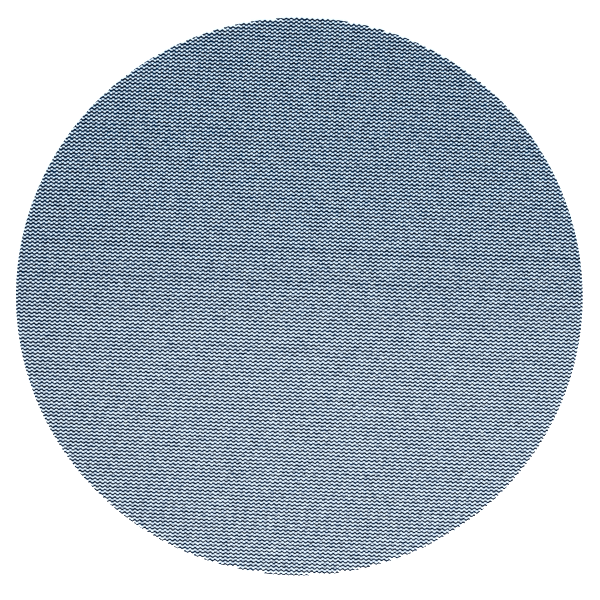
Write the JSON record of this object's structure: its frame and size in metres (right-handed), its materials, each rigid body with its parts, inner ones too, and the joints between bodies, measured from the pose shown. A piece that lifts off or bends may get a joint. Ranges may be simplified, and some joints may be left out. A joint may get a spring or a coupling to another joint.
{
  "type": "mesh sanding disc",
  "caption": "Round net of zigzag abrasive ribs with open gaps that let dust through, and a looped back that grips a sanding pad.",
  "frame": {"origin": "centre of the looped back, on the plane it rests on", "axes": "+Z from the looped back to the grain face, +X along the ribs"},
  "size_m": [0.15, 0.15, 0.001],
  "materials": {
    "grain_coated_net": "dark blue knitted yarn, coated with fine grain",
    "pale_yarn": "thin pale blue yarn between the ribs, and the loops of the back"
  },
  "bodies": {
    "root": {"sanding_net": "grain_coated_net"}
  },
  "joints": []
}
